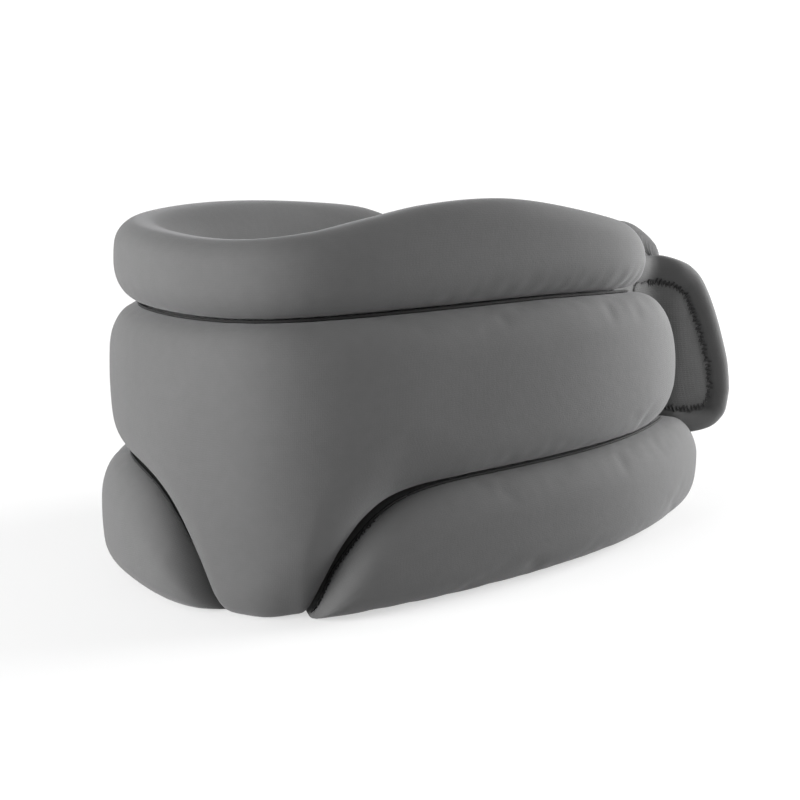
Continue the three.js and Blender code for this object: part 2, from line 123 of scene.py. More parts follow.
FOOT_DEPTH_LEFT = 6.0
FOOT_DEPTH_RIGHT = 12.0
THIN_SHARE = 0.45  # share of its full thickness that a cushion keeps where it is very low
THIN_SHARE_LEFT = 0.62
STATION_STEP = 2.5
PUCKER_AT = 3.5  # distance from a seam at which its puckers are deepest
PUCKER_FADE = 3.6
SPLIT_AT = 0.0  # the left and right halves of a long cushion meet here, in the middle of the chin side


# ---- plan curve and profiles

def unit(vectors):
    return vectors / np.linalg.norm(vectors, axis=-1, keepdims=True)


def run_length(points):
    """The distance along a line of points from its first to each of them."""
    return np.concatenate([[0], np.cumsum(np.linalg.norm(np.diff(points, axis=0), axis=1))])


def plan_samples():
    """Points of the closed B-spline, with the distance of each from the front-most point."""
    count = len(PLAN_CORNERS)
    t = np.linspace(0, count, count * 400 + 1)
    k = np.floor(t).astype(int)
    u = (t - k)[:, None]
    weights = ((1 - u) ** 3, 3 * u**3 - 6 * u**2 + 4, -3 * u**3 + 3 * u**2 + 3 * u + 1, u**3)
    points = sum(w / 6 * PLAN_CORNERS[(k + i - 1) % count] for i, w in enumerate(weights)) + PLAN_SHIFT
    distance = run_length(points)
    return points, distance, distance[np.argmin(points[:, 1])]


PLAN_POINTS, PLAN_DISTANCE, CHIN = plan_samples()
PLAN_LENGTH = PLAN_DISTANCE[-1]
PLAN_TANGENTS = np.gradient(PLAN_POINTS, PLAN_DISTANCE, axis=0)


def along_plan(s):
    """Points of the plan curve and outward directions at the distances s, in millimetres."""
    at = np.mod(np.asarray(s, float) + CHIN, PLAN_LENGTH)
    point = np.stack([np.interp(at, PLAN_DISTANCE, PLAN_POINTS[:, i]) for i in (0, 1)], -1)
    tangent = np.stack([np.interp(at, PLAN_DISTANCE, PLAN_TANGENTS[:, i]) for i in (0, 1)], -1)
    tangent = unit(tangent)
    return point, np.stack([tangent[..., 1], -tangent[..., 0]], -1)


def set_out(line, offset, height):
    """Positions in metres at offsets from a line of (points, outward directions) and at heights."""
    point, outward = line
    flat = point + np.asarray(offset)[..., None] * outward
    return np.concatenate([flat, np.asarray(height)[..., None] * np.ones(flat.shape[:-1] + (1,))], -1) * MM


def place(s, offset, height):
    """Positions in metres for distances along the plan, offsets and heights in millimetres."""
    return set_out(along_plan(s), offset, height)


def through(stations, s):
    """A smooth curve through a few (distance, value) stations, level beyond the first and the last."""
    xs, ys = np.array(stations, float).T
    before = np.maximum(np.arange(len(xs)) - 1, 0)
    after = np.minimum(np.arange(len(xs)) + 1, len(xs) - 1)
    slopes = (ys[after] - ys[before]) / (xs[after] - xs[before])
    s = np.clip(s, xs[0], xs[-1])
    k = np.clip(np.searchsorted(xs, s, side="right") - 1, 0, len(xs) - 2)
    span = xs[k + 1] - xs[k]
    u = (s - xs[k]) / span
    rise = ys[k + 1] - ys[k]
    bend = (slopes[k] * span - rise) * (1 - u) - (slopes[k + 1] * span - rise) * u
    return ys[k] + rise * u + u * (1 - u) * bend


def smoothstep(x, low, high):
    u = np.clip((np.asarray(x, float) - low) / (high - low), 0, 1)
    return u * u * (3 - 2 * u)


def rim_height(s):
    return through(RIM, s)


def upper_seam(s):
    return through(UPPER_SEAM, s)


def lower_seam(s):
    beyond = np.maximum(np.abs(s - TAB_CENTRE) - TAB_HALF, 0)
    level = np.where(s < TAB_CENTRE, LOWER_SEAM_RIGHT, LOWER_SEAM)
    return level * (1 - np.exp(-((beyond / TAB_FLARE) ** TAB_CURVE)))


def base_offset(s):
    return -WALL + 8 * np.clip((s - 150) / 63, 0, 1) ** 2


def root_room(s):
    return 6.6 * smoothstep(s, 148, 160)


# ---- mesh building

def mesh_object(name, positions, faces, material, uvs=None):
    mesh = bpy.data.meshes.new(name)
    mesh.from_pydata([tuple(p) for p in positions], [], [tuple(f) for f in faces])
    if uvs is not None:
        layer = mesh.uv_layers.new(name="weave")
        corners = np.array([loop.vertex_index for loop in mesh.loops])
        layer.data.foreach_set("uv", np.asarray(uvs, np.float32)[corners].ravel())
    mesh.polygons.foreach_set("use_smooth", [True] * len(mesh.polygons))
    mesh.materials.append(material)
    mesh.update()
    obj = bpy.data.objects.new(name, mesh)
    bpy.context.scene.collection.objects.link(obj)
    return obj


def tube_faces(rings, size):
    """Faces of a closed tube of rings, with a fan to a centre vertex at each end. The centres come last."""
    first_centre, last_centre = rings * size, rings * size + 1
    last = (rings - 1) * size
    faces = []
    for i in range(rings - 1):
        for j in range(size):
            k = (j + 1) % size
            faces.append((i * size + j, (i + 1) * size + j, (i + 1) * size + k, i * size + k))
    for j in range(size):
        k = (j + 1) % size
        faces += [(first_centre, j, k), (last_centre, last + k, last + j)]
    return faces


def weave(along, around):
    """Coordinates for a fabric material: distances along the cloth and round it."""
    return np.stack([along + 0 * around, around], -1) * MM


def round_trip(front, back):
    """Columns of the front, then those of the back in the other direction, without its first and last."""
    return np.concatenate([front, back[:, -2:0:-1]], 1)


def closed_tube(name, positions, material, uvs=None):
    """A closed mesh from an array of rings, (rings, points, 3), with a centre vertex at each end."""
    flat = positions.reshape(-1, 3)
    ends = [positions[0].mean(0), positions[-1].mean(0)]
    faces = tube_faces(*positions.shape[:2])
    if uvs is not None:
        uvs = np.concatenate([uvs.reshape(-1, 2), [uvs[0].mean(0), uvs[-1].mean(0)]])
    return mesh_object(name, np.concatenate([flat, ends]), faces, material, uvs)


def coordinates(mesh):
    co = np.zeros(len(mesh.vertices) * 3, np.float32)
    mesh.vertices.foreach_get("co", co)
    return co.reshape(-1, 3).astype(float)


def subdivide(obj):
    modifier = obj.modifiers.new("round", "SUBSURF")
    modifier.levels = modifier.render_levels = 1
    evaluated = obj.evaluated_get(bpy.context.evaluated_depsgraph_get())
    mesh = bpy.data.meshes.new_from_object(evaluated)
    obj.modifiers.clear()
    obj.data = mesh


SIM_PRESSURE = 4.0
SIM_SLACK = 0.002  # how much bigger than the foam the fabric is, as a share
SIM_REACH = 1.5  # no point of a cushion moves further than this
SIM_FRAMES = 20


def inflate(obj, held):
    """Blows the cushion up as cloth. held is 0 at a vertex that is free and 1 where it is held."""
    rest = coordinates(obj.data)
    group = obj.vertex_groups.new(name="held")
    for weight in np.unique(np.round(held, 2)):
        if weight > 0:
            group.add(np.nonzero(np.round(held, 2) == weight)[0].tolist(), float(weight), "REPLACE")
    modifier = obj.modifiers.new("inflate", "CLOTH")
    cloth = modifier.settings
    cloth.quality = 6
    cloth.mass = 0.3
    cloth.tension_stiffness = cloth.compression_stiffness = 25
    cloth.bending_stiffness = 0.6
    cloth.use_pressure = True
    cloth.uniform_pressure_force = SIM_PRESSURE
    cloth.shrink_min = cloth.shrink_max = -SIM_SLACK
    cloth.vertex_group_mass = "held"
    cloth.effector_weights.gravity = 0
    modifier.collision_settings.use_collision = False
    scene = bpy.context.scene
    for number in range(1, SIM_FRAMES + 1):
        scene.frame_set(number)
    evaluated = obj.evaluated_get(bpy.context.evaluated_depsgraph_get())
    moved = coordinates(evaluated.data) - rest
    obj.modifiers.remove(modifier)
    obj.vertex_groups.clear()
    scene.frame_set(1)
    length = np.linalg.norm(moved, axis=1, keepdims=True)
    reach = SIM_REACH * MM
    moved *= reach * np.tanh(length / reach) / np.maximum(length, 1e-9)
    obj.data.vertices.foreach_set("co", np.asarray(rest + moved, np.float32).ravel())
    obj.data.update()


def split_halves(obj, at, names):
    """Cuts a cushion into a right and a left piece that meet edge to edge, along the ring where the faces' side
    attribute changes. `at` is not used. Both keep the shading normals of the whole, so the join doesn't show."""
    whole = obj.data
    normals = np.zeros(len(whole.vertices) * 3, np.float32)
    whole.vertex_normals.foreach_get("vector", normals)
    normals = normals.reshape(-1, 3)
    side = np.zeros(len(whole.polygons), np.int32)
    whole.attributes["side"].data.foreach_get("value", side)
    halves = []
    for wanted, name in zip((0, 1), names):
        mesh = bmesh.new()
        mesh.from_mesh(whole)
        source = mesh.verts.layers.int.new("source")
        for vertex in mesh.verts:
            vertex[source] = vertex.index
        mesh.faces.ensure_lookup_table()
        others = [face for face in mesh.faces if side[face.index] != wanted]
        bmesh.ops.delete(mesh, geom=others, context="FACES")
        rim = [edge for edge in mesh.edges if edge.is_boundary]
        bmesh.ops.edgeloop_fill(mesh, edges=rim)
        bmesh.ops.recalc_face_normals(mesh, faces=mesh.faces)
        data = bpy.data.meshes.new(name)
        mesh.to_mesh(data)
        mesh.free()
        origin = np.zeros(len(data.vertices), np.int32)
        data.attributes["source"].data.foreach_get("value", origin)
        data.attributes.remove(data.attributes["source"])
        data.attributes.remove(data.attributes["side"])
        data.materials.append(whole.materials[0])
        data.polygons.foreach_set("use_smooth", [True] * len(data.polygons))
        data.normals_split_custom_set_from_vertices([tuple(normals[i]) for i in origin])
        half = bpy.data.objects.new(name, data)
        bpy.context.scene.collection.objects.link(half)
        halves.append(half)
    bpy.data.objects.remove(obj)
    return halves


def follow(obj, side):
    """Bakes the piece's placement into its mesh. It looks up the wing's flex line, but nothing bends across it.
    """
    s = FLEX_AT if side == "left" else -FLEX_AT
    point, outward = along_plan(s)
    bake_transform(obj)


# ---- thread

def tube_rings(path, radius, sides):
    """Rings of points round a path, drawn in to a small end at both ends."""
    tangents = unit(np.gradient(path, axis=0))
    helper = [0.31, 0.17, 0.94] if abs(tangents[0][2]) < 0.8 else [0.94, 0.17, 0.31]  # never along the path
    first = unit(np.cross(tangents, helper))
    second = np.cross(tangents, first)
    angle = np.linspace(0, 2 * math.pi, sides, endpoint=False)[None, :, None]
    sizes = np.full(len(path), radius)
    sizes[[0, -1]] *= 0.5
    circle = first[:, None] * np.cos(angle) + second[:, None] * np.sin(angle)
    return path[:, None] + circle * sizes[:, None, None]


def thread_piece(name, paths, radius, material, sides=6):
    """One mesh of closed round threads, one along each path of points in metres."""
    vertices, faces = [], []
    for path in paths:
        rings = tube_rings(np.asarray(path), radius * MM, sides)
        first = sum(len(v) for v in vertices)
        flat = rings.reshape(-1, 3)
        vertices.append(np.concatenate([flat, [rings[0].mean(0), rings[-1].mean(0)]]))
        faces.extend(tuple(index + first for index in face) for face in tube_faces(len(path), sides))
    return mesh_object(name, np.concatenate(vertices), faces, material)


THREAD = 0.28  # radius of the sewing thread
FINE_THREAD = 0.26
STITCH_LIFT = 0.3  # how far the middle of a stitch stands off the cloth
LINING_PITCH = 3.4
BAND_PITCH = 3.6
LOOP_PITCH = 2.8
TONGUE_PITCH = 2.6


def running_stitches(at, start, end, pitch):
    """Paths of a row of stitches. at(u, lift) gives points, for distances along the row and lifts off it."""
    count = max(1, int((end - start) / pitch))
    shape = np.array([-0.35, 0.7, 1.0, 0.7, -0.35]) * STITCH_LIFT
    along = np.linspace(-0.4, 0.4, len(shape)) * pitch
    centres = start + pitch * (np.arange(count) + 0.5)
    return [at(centre + along, shape) for centre in centres]


# ---- fabric materials

MAP_SOCKETS = ("From Min", "From Max", "To Min", "To Max")


class Nodes:
    """A small helper that adds and links shader nodes."""

    def __init__(self, name):
        self.material = bpy.data.materials.new(name)
        self.material.use_nodes = True
        self.tree = self.material.node_tree
        self.tree.nodes.clear()
        output = self.tree.nodes.new("ShaderNodeOutputMaterial")
        self.shader = self.tree.nodes.new("ShaderNodeBsdfPrincipled")
        self.link(self.shader.outputs[0], output.inputs[0])

    def link(self, source, target):
        self.tree.links.new(source, target)

    def coordinates(self, kind="UV"):
        return self.tree.nodes.new("ShaderNodeTexCoord").outputs[kind]

    def node(self, kind, inputs):
        """Adds a node. A number goes on its input's socket, and an output is linked to it."""
        node = self.tree.nodes.new("ShaderNode" + kind)
        for key, value in inputs.items():
            if isinstance(value, bpy.types.NodeSocket):
                self.link(value, node.inputs[key])
            else:
                node.inputs[key].default_value = value
        return node

    def noise(self, vector, scale, detail=2.0, roughness=0.5):
        inputs = {"Scale": scale, "Detail": detail, "Roughness": roughness, "Vector": vector}
        return self.node("TexNoise", inputs).outputs["Fac"]

    def bands(self, vector, pitch, direction):
        inputs = {"Scale": math.pi / (10 * pitch), "Distortion": 0.6, "Detail Scale": 2.0, "Vector": vector}
        node = self.node("TexWave", inputs)
        node.wave_type = "BANDS"
        node.bands_direction = direction
        return node.outputs["Fac"]

    def combine(self, kind, a, b):
        node = self.node("Math", {0: a, 1: b})
        node.operation = kind
        return node.outputs[0]

    def spread(self, value, *spans):
        return self.node("MapRange", {"Value": value, **dict(zip(MAP_SOCKETS, spans))}).outputs["Result"]

    def ramp(self, value, dark, light):
        node = self.node("Mix", {0: value, 6: (*dark, 1), 7: (*light, 1)})
        node.data_type = "RGBA"
        return node.outputs[2]

    def bump(self, height, distance, strength, before=None):
        inputs = {"Distance": distance, "Strength": strength, "Height": height}
        return self.node("Bump", inputs if before is None else {**inputs, "Normal": before}).outputs["Normal"]


def grey(value):
    return (value, value, value)


def knit(
    name, tone, pitch, relief, nap=0.25, variation=0.10, roughness=0.88, sheen=0.10, coordinates="UV"
):
    """A knitted fabric: fine wales and courses under a short nap, with a slow unevenness of tone."""
    n = Nodes(name)
    where = n.coordinates(coordinates)
    wales = n.bands(where, pitch, "X")
    courses = n.bands(where, pitch * 1.3, "Y")
    weave = n.combine("MULTIPLY", wales, courses)
    hair = n.noise(where, 1.8 / MM, 3.0, 0.6)
    blotch = n.noise(where, 0.3 / MM, 3.0, 0.55)
    slow = n.noise(where, 0.022 / MM, 2.0, 0.5)
    tone_mix = n.combine("ADD", n.combine("MULTIPLY", slow, 0.5), n.combine("MULTIPLY", blotch, 0.25))
    tone_mix = n.combine("ADD", tone_mix, n.combine("MULTIPLY", hair, 0.25))
    tone_mix = n.combine("ADD", tone_mix, n.combine("MULTIPLY", weave, 0.12))
    mixed = n.spread(tone_mix, 0.38, 0.72, 0.0, 1.0)
    colour = n.ramp(mixed, grey(tone * (1 - variation)), grey(tone * (1 + variation)))
    n.link(colour, n.shader.inputs["Base Color"])
    n.link(n.spread(hair, 0.3, 0.7, roughness - 0.06, roughness + 0.06), n.shader.inputs["Roughness"])
    first = n.bump(weave, pitch * 0.35, relief)
    second = n.bump(hair, 0.00022, nap, first)
    n.link(n.bump(blotch, 0.0004, 0.12, second), n.shader.inputs["Normal"])
    n.shader.inputs["Specular IOR Level"].default_value = 0.25
    n.shader.inputs["Sheen Weight"].default_value = sheen
    n.shader.inputs["Sheen Roughness"].default_value = 0.45
    n.shader.inputs["Sheen Tint"].default_value = (0.9, 0.9, 0.92, 1)
    return n.material


COVER_TONE = 0.062
cover_fabric = knit("cover_knit", COVER_TONE, 0.45 * MM, 0.12)
# darker than the lining's own tone: painted shade over the flange; the same darker knit lines the inside and
# backs the tongue
shade_darkened_lining_fabric = knit("shade_darkened_lining_knit", 0.048, 1.1 * MM, 0.5, nap=0.3, variation=0.12)
band_fabric = knit("band_knit", 0.060, 1.4 * MM, 0.6, nap=0.25, variation=0.12)
# the cover knit made lighter on the tongue: painted light that makes up for the little light reaching it
brightened_tongue_fabric = knit("brightened_tongue_knit", COVER_TONE * 1.15, 0.45 * MM, 0.15)
# lighter than the cover partly as the patch's own lighter fabric and partly as painted light, like the tongue's
brightened_patch_fabric = knit("brightened_patch_knit", COVER_TONE * 1.3, 0.55 * MM, 0.3, nap=0.35, variation=0.14)
patch_thread = knit("patch_thread", COVER_TONE * 0.75, 0.35 * MM, 0.5, nap=0.3, coordinates="Object")
loop_fabric = knit("loop_pile", 0.05, 0.9 * MM, 0.7, nap=0.9, variation=0.3, roughness=0.93, sheen=0.35)
# binding tape at a lowered tone: painted shade over the flange
shade_darkened_binding_fabric = knit("shade_darkened_binding_tape", 0.035, 0.8 * MM, 0.6, nap=0.2, coordinates="Object")
thread_material = knit("sewing_thread", 0.03, 0.35 * MM, 0.8, nap=0.4, roughness=0.7, coordinates="Object")
# near black: on the cords in the creases it is painted crease shade; the tab's ladder stitches use it too
stitch_and_crease_shade_material = knit("crease_shade_cord", 0.006, 0.35 * MM, 0.3, nap=0.2, sheen=0.0, coordinates="Object")
hook_material = knit(
    "hook_nylon", 0.03, 1.5 * MM, 0.3, nap=0.1, roughness=0.5, sheen=0.0, coordinates="Object"
)


# ---- padded tiers

class Tier:
    """One padded roll: where it runs along the plan, how its ends are rounded and how far it stands out."""

    def __init__(self, start, end, drop, ends, bulge, low, high, base, rim=False, tab_end=None):
        """drop is how far down the tip of a free end lies. ends holds three (length, bluntness) pairs: how the
        top edge comes down to that tip, how the bottom edge comes up to it and how the thickness closes."""
        self.start = start
        self.end = end
        self.drop = drop
        self.top_end, self.low_end, self.depth_end = ends
        self.bulge = bulge
        self.low = low
        self.high = high
        self.base = base
        self.rim = rim
        self.tab_end = tab_end
        self.low_pucker = lambda s: 0.0 * s
        self.top_pucker = lambda s: 0.0 * s


def seam_below(s):
    return np.maximum(lower_seam(s) - TOUCH, 0.25)


ROLL_ENDS = ((30, 2.0), (25, 2.1), (28, 3.6))
UPPER = Tier(
    BACK_END, 171, 0.56, ((26, 1.8), (6, 3), (46, 2.6)), -2.2,
    lambda s: upper_seam(s) + TOUCH, rim_height, base_offset, rim=True,
)
MIDDLE = Tier(
    BACK_END, 197, 0.73, ((42, 1.7), (32, 2.3), (50, 2.3)), 0,
    lambda s: np.where(lower_seam(s) > 0, lower_seam(s) + TOUCH, 0),
    lambda s: upper_seam(s) - TOUCH, lambda s: base_offset(s) + root_room(s),
)
ROLL_LEFT = Tier(
    TAB_CENTRE + TAB_HALF + 0.6, 216, 0.5, ROLL_ENDS, 1.4,
    lambda s: 0 * s, seam_below, base_offset, tab_end="start",
)
ROLL_RIGHT = Tier(
    BACK_END, TAB_CENTRE - TAB_HALF - 0.6, 0.5, ROLL_ENDS, 3.6,
    lambda s: 0 * s, seam_below, base_offset, tab_end="end",
)


UPPER.low_pucker = lambda s: 0.10 + 0.30 * smoothstep(s, 100, 125)
MIDDLE.top_pucker = lambda s: 0.06 + 0.05 * smoothstep(s, 100, 140)
MIDDLE.low_pucker = lambda s: 0.08 + 0.22 * smoothstep(-np.abs(s - 36), -14, -4)
ROLL_LEFT.top_pucker = lambda s: 0.08 + 0.0 * s
ROLL_RIGHT.top_pucker = lambda s: 0.10 + 0.35 * smoothstep(s, -45, -20)


def end_share(tier, s, length):
    """0 along the cushion, growing to 1 over its rounded ends of the given length."""
    from_start = np.full_like(s, length) if tier.tab_end == "start" else s - tier.start
    to_end = np.full_like(s, length) if tier.tab_end == "end" else tier.end - s
    return np.clip(1 - np.minimum(from_start, to_end) / length, 0, 0.992)


def fullness(tier, s, end):
    """1 along the cushion, falling in a rounded curve towards its free ends."""
    length, blunt = end
    return (1 - end_share(tier, s, length) ** blunt) ** (1 / blunt)


def puckers(s, from_seam, depth, phase):
    """Small gathers that a seam draws into the fabric beside it, fading within a few millimetres of it."""
    uneven = s + 2.3 * np.sin(s / 17.0 + phase) + 1.1 * np.sin(s / 6.1 + 2 * phase)
    wave = np.sin(uneven * 2 * math.pi / 7.4 + phase) * (0.65 + 0.35 * np.sin(s / 11.3 + phase))
    near = np.exp(-((from_seam - PUCKER_AT) / PUCKER_FADE) ** 2)
    return depth * wave * near


def tier_sections(tier, s, face_steps):
    """Offsets and heights of closed cross-sections at the distances s, and where the outer face starts."""
    full = fullness(tier, s, tier.low_end)
    full_depth = fullness(tier, s, tier.depth_end)
    low, high, base = tier.low(s), tier.high(s), tier.base(s)
    bottom = low + (high - low) * (1 - tier.drop) * (1 - full)
    top = high - (high - low) * tier.drop * (1 - fullness(tier, s, tier.top_end))
    middle, half = (top + bottom) / 2, (top - bottom) / 2
    plump = np.minimum(1, half / PLUMP_HALF)
    thin = THIN_SHARE_LEFT if tier.tab_end == "start" else THIN_SHARE
    share = thin + (1 - thin) * np.sqrt(plump * (2 - plump)) * full
    depth = (tier.bulge - base) * np.minimum(share, full_depth)
    face = base + depth
    slope_low = np.sqrt(1 + np.gradient(low, s) ** 2)
    height = top - bottom
    roll = tier.tab_end is not None
    beside_tab = smoothstep(s, 8, 22) * (1 - smoothstep(s, 45, 75)) * (not tier.rim)
    corner_low = CORNER_HEIGHT * slope_low * (1 + 0.8 * beside_tab)
    tight = 1 - 0.55 * smoothstep(s, tier.end - 16, tier.end - 3) * tier.rim
    corner_low = np.minimum(FOOT_HEIGHT if roll else corner_low * tight, height * CORNER_LIMIT)
    corner_high = np.minimum(RIM_CORNER if tier.rim else CORNER_HEIGHT, height * CORNER_LIMIT)
    foot_depth = FOOT_DEPTH_LEFT if tier.tab_end == "start" else FOOT_DEPTH_RIGHT
    foot_depth = CORNER_DEPTH + (foot_depth - CORNER_DEPTH) * smoothstep(np.abs(s - TAB_CENTRE), 25, 60)
    depth_low = np.minimum(foot_depth if roll else CORNER_DEPTH * (1 + 0.5 * beside_tab) * tight, depth * 0.6)
    depth_high = np.minimum(RIM_CORNER if tier.rim else CORNER_DEPTH, depth * 0.45)
    if roll:
        depth_high = np.minimum(depth_high, 2 + height / 2)
    quarter = [(math.sin(angle), math.cos(angle)) for angle in np.linspace(0, math.pi / 2, CORNER_ROWS)]
    face_levels = np.linspace(0, 1, face_steps + 1)[1:-1]
    columns = [(base + (depth - depth_low) * u, bottom) for u in np.linspace(0, 1, 5)[:-1]]
    foot = len(columns)
    columns += [(face - depth_low * (1 - sin), bottom + corner_low * (1 - cos)) for sin, cos in quarter]
    columns += [(face, bottom + corner_low + (height - corner_low - corner_high) * u) for u in face_levels]
    columns += [(face - depth_high * (1 - cos), top - corner_high * (1 - sin)) for sin, cos in quarter]
    back_top = top
    if tier.rim:
        rim_depth = np.maximum(depth - depth_high - RIM_FLAT, 0.2 * depth)
        rim_drop = np.minimum(RIM_DROP, height * RIM_SHARE)
        for angle in np.linspace(0, math.pi / 2, CORNER_ROWS + 1)[1:]:
            columns.append((base + rim_depth * (1 - math.sin(angle)), top - rim_drop * (1 - math.cos(angle))))
        back_top = top - rim_drop
    else:
        columns += [(base + (depth - depth_high) * u, top) for u in np.linspace(1, 0, 5)[1:]]
    columns += [(base, back_top + (bottom - back_top) * u) for u in np.linspace(0, 1, 7)[1:-1]]
    for number in range(foot, foot + 2 * CORNER_ROWS + face_steps - 1):
        offset, level = columns[number]
        across = np.clip((level - middle) / np.maximum(half, 0.1), -1, 1)
        offset = offset + CROWN * full * (1 - across**2) ** 1.5
        offset = offset + puckers(s, level - bottom, tier.low_pucker(s), 0.0)
        if not tier.rim:
            offset = offset + puckers(s, top - level, tier.top_pucker(s), 1.7)
        columns[number] = (offset, level)
    offsets = np.stack([c[0] for c in columns], 1)
    heights = np.stack([c[1] for c in columns], 1)
    return offsets, heights, foot


def even_stations(start, end):
    return np.linspace(start, end, int(round((end - start) / STATION_STEP)) + 1)


def tier_stations(tier):
    """Distances along the plan for the cross-sections: even, and closer together at the rounded ends."""
    length = tier.top_end[0]
    inner_start = tier.start + (0 if tier.tab_end == "start" else length)
    inner_end = tier.end - (0 if tier.tab_end == "end" else length)
    if inner_start < SPLIT_AT < inner_end:
        right, left = even_stations(inner_start, SPLIT_AT), even_stations(SPLIT_AT, inner_end)
        middle = np.concatenate([right[:-1], left])
    else:
        middle = even_stations(inner_start, inner_end)
    near = length * np.sin(np.linspace(0, math.pi / 2, 6 + int(length / 4)))[1:]
    parts = [middle]
    if tier.tab_end != "start":
        parts.insert(0, (inner_start - near)[::-1])
    if tier.tab_end != "end":
        parts.append(inner_end + near)
    return np.concatenate(parts)


def build_tier(name, tier, face_steps, anchor_top):
    """The cushion's mesh before it is blown up, and how firmly each vertex is held. The weave starts at the
    top of the outer face with anchor_top, and otherwise at its foot."""
    s = tier_stations(tier)
    offsets, heights, foot = tier_sections(tier, s, face_steps)
    positions = place(s[:, None], offsets, heights)
    across, up = (np.diff(side, axis=1, append=side[:, :1]) for side in (offsets, heights))
    edges = np.hypot(across, up)
    around = np.concatenate([np.zeros((len(s), 1)), np.cumsum(edges, axis=1)[:, :-1]], 1)
    crest = foot + 2 * CORNER_ROWS + face_steps - 2
    anchor = crest if anchor_top else foot
    around -= around[:, anchor:anchor + 1]
    obj = closed_tube(name, positions, cover_fabric, weave(s[:, None], around))
    side = obj.data.attributes.new("side", "INT", "FACE")
    quads = np.repeat((s[:-1] >= SPLIT_AT - 1e-6).astype(np.int32), offsets.shape[1])
    caps = np.tile(np.array([0, 1], np.int32), offsets.shape[1])
    side.data.foreach_set("value", np.concatenate([quads, caps]))
    face_rows = np.zeros(offsets.shape[1])
    face_rows[foot + 1:crest + (CORNER_ROWS if tier.rim else 0)] = 1
    ends = 1 - smoothstep(end_share(tier, s, tier.top_end[0]), 0.75, 0.95)
    held = np.concatenate([(1 - ends[:, None] * face_rows[None, :]).ravel(), [1, 1]])
    return obj, held


def make_pad(name, tier, face_steps, anchor_top):
    obj, held = build_tier(name, tier, face_steps, anchor_top)
    inflate(obj, held)
    subdivide(obj)
    return obj


def finish_pad(obj, side, nodes):
    if "side" in obj.data.attributes:
        obj.data.attributes.remove(obj.data.attributes["side"])
    follow(obj, side)
    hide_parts(*nodes)


def tier_nodes(label, side):
    wing = side if not label.startswith("lower") else "wing"
    return [f"{label}_{layer}_{part}" for layer in ("cover", "foam") for part in ("front", wing)]


for label, tier, steps, anchor_top in (("upper", UPPER, 6, False), ("middle", MIDDLE, 14, True)):
    whole = make_pad(label + "_pad", tier, steps, anchor_top)
    right, left = split_halves(whole, SPLIT_AT, (label + "_pad_right", label + "_pad_left"))
    finish_pad(left, "left", tier_nodes(label, "left"))
    finish_pad(right, "right", tier_nodes(label, "right"))

for label, tier, side in (("lower_left", ROLL_LEFT, "left"), ("lower_right", ROLL_RIGHT, "right")):
    roll = make_pad(label + "_pad", tier, 6, False)
    finish_pad(roll, side, tier_nodes(label, side))


# ---- seams between the cushions, with near-black cords that paint the creases' shade

SHADE_CORD_RADIUS = 0.42  # radius of the near-black cord laid along each crease: painted crease shade
LADDER_PITCH = 1.15
LADDER_REACH = 0.85  # how far the stitches of the tab's seam reach to each side of it


def crease(above, below, start, end, step):
    """Distances, offsets and heights along the line where the cushion above meets the one below."""
    s = np.linspace(start, end, int((end - start) / step) + 1)
    steps = 4
    upper_offsets, upper_heights, foot = tier_sections(above, s, steps)
    lower_offsets, lower_heights, _ = tier_sections(below, s, steps)
    top = foot + 2 * CORNER_ROWS + steps - 2
    meet = np.maximum(upper_offsets[:, foot], lower_offsets[:, top])
    return s, meet, (upper_heights[:, foot] + lower_heights[:, top]) / 2


# a near-black cord along a crease: painted shade of the crease
def crease_shade_cord(name, parts, side):
    piece = thread_piece(name, [place(*part) for part in parts], SHADE_CORD_RADIUS, stitch_and_crease_shade_material)
    follow(piece, side)


def ladder(above, below, start, end):
    """The stitches that close the tab's seam, crossing it from one side to the other."""
    s, meet, z = crease(above, below, start, end, 0.1)
    length = np.concatenate([[0], np.cumsum(np.hypot(np.diff(s), np.diff(z)))])
    at = np.arange(1.0, length[-1] - 1.0, LADDER_PITCH / 2)
    s, meet, z = (np.interp(at, length, values) for values in (s, meet, z))
    along = unit(np.stack([np.gradient(s), np.gradient(z)], 1))
    swing = np.array([0, 1, 0, -1])[np.arange(len(at)) % 4] * LADDER_REACH
    lift = np.where(np.arange(len(at)) % 2 == 1, 1.15, 0.75)
    return place(s - along[:, 1] * swing, meet + lift, z + along[:, 0] * swing)


BESIDE_TAB = 30.0  # length of the finely stepped piece of cord that runs down beside the tab
CORD_OVERLAP = 0.5
SPLIT_OVERLAP = 1.2  # of the left and right upper cords
UPPER_CORD_SHORT = 19.0  # from the end of the cord to the end of the upper cushion
tab_left, tab_right = TAB_CENTRE + TAB_HALF + 1.2, TAB_CENTRE - TAB_HALF - 1.2
crease_shade_cord("crease_shade_cords_left", [
    crease(UPPER, MIDDLE, SPLIT_AT - SPLIT_OVERLAP, UPPER.end - UPPER_CORD_SHORT, 1.5),
    crease(MIDDLE, ROLL_LEFT, tab_left, tab_left + BESIDE_TAB, 0.5),
    crease(MIDDLE, ROLL_LEFT, tab_left + BESIDE_TAB - CORD_OVERLAP, MIDDLE.end - 14, 1.5),
], "left")
crease_shade_cord("crease_shade_cords_right", [
    crease(UPPER, MIDDLE, BACK_END + 22, SPLIT_AT + SPLIT_OVERLAP, 1.5),
    crease(MIDDLE, ROLL_RIGHT, BACK_END + 30, tab_right - BESIDE_TAB + CORD_OVERLAP, 1.5),
    crease(MIDDLE, ROLL_RIGHT, tab_right - BESIDE_TAB, tab_right, 0.5),
], "right")
tab_seam = ladder(MIDDLE, ROLL_LEFT, tab_left, tab_left + 20)
tab_stitches = thread_piece("tab_stitches", [tab_seam], FINE_THREAD, stitch_and_crease_shade_material, 5)
follow(tab_stitches, "left")


# ---- lining

def lining_high(s):
    ends = smoothstep(s, FLANGE_TOP[0][0], FLANGE_TOP[1][0])
    return (rim_height(s) - LINING_DROP) * (1 - ends) + through(FLANGE_TOP, s) * ends


def lining_low(s):
    return np.where(s < FLANGE_LOW[0][0], LINING_LOW, through(FLANGE_LOW, s))


